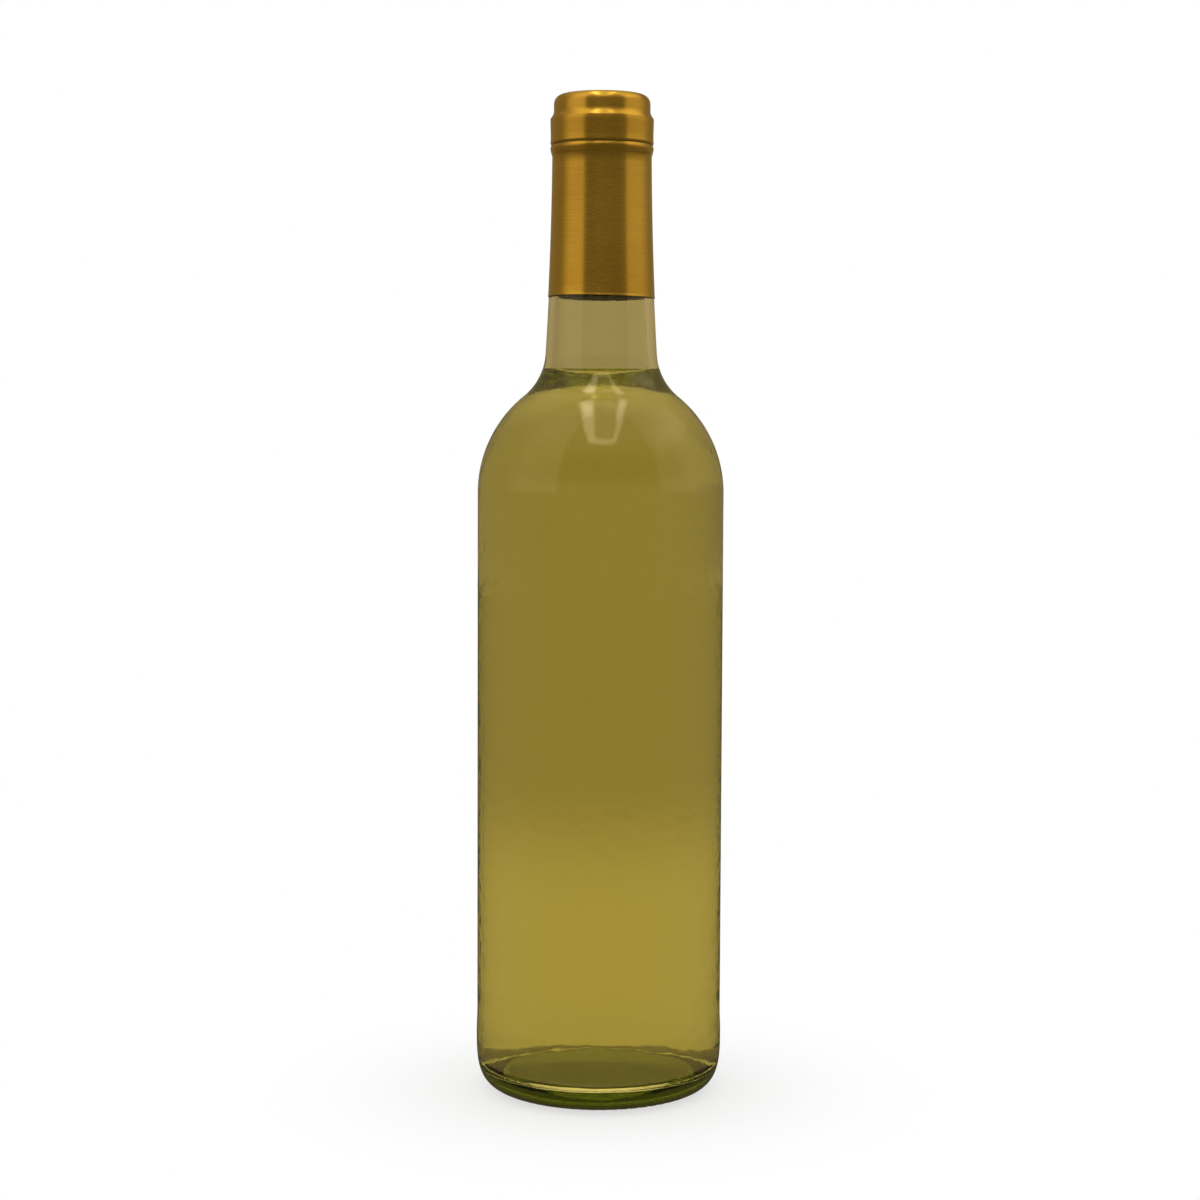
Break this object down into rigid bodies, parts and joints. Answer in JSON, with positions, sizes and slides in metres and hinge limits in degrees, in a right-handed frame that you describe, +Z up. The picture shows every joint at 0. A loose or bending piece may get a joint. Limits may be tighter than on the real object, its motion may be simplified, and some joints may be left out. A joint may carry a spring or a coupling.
{
  "type": "wine bottle",
  "caption": "Closed, straight-sided glass bottle with high shoulders, full of white wine, with a gold metal capsule over the mouth.",
  "frame": {"origin": "centre of the ring that the bottle stands on", "axes": "+Z up along the bottle's axis, from the base to the mouth"},
  "size_m": [0.0752, 0.0752, 0.3031],
  "materials": {
    "glass": "clear, faintly olive moulded glass, polished",
    "white_wine": "clear golden liquid",
    "gold_foil": "satin gold lacquered metal foil"
  },
  "bodies": {
    "root": {"bottle": "glass", "wine": "white_wine", "capsule": "gold_foil"}
  },
  "joints": []
}
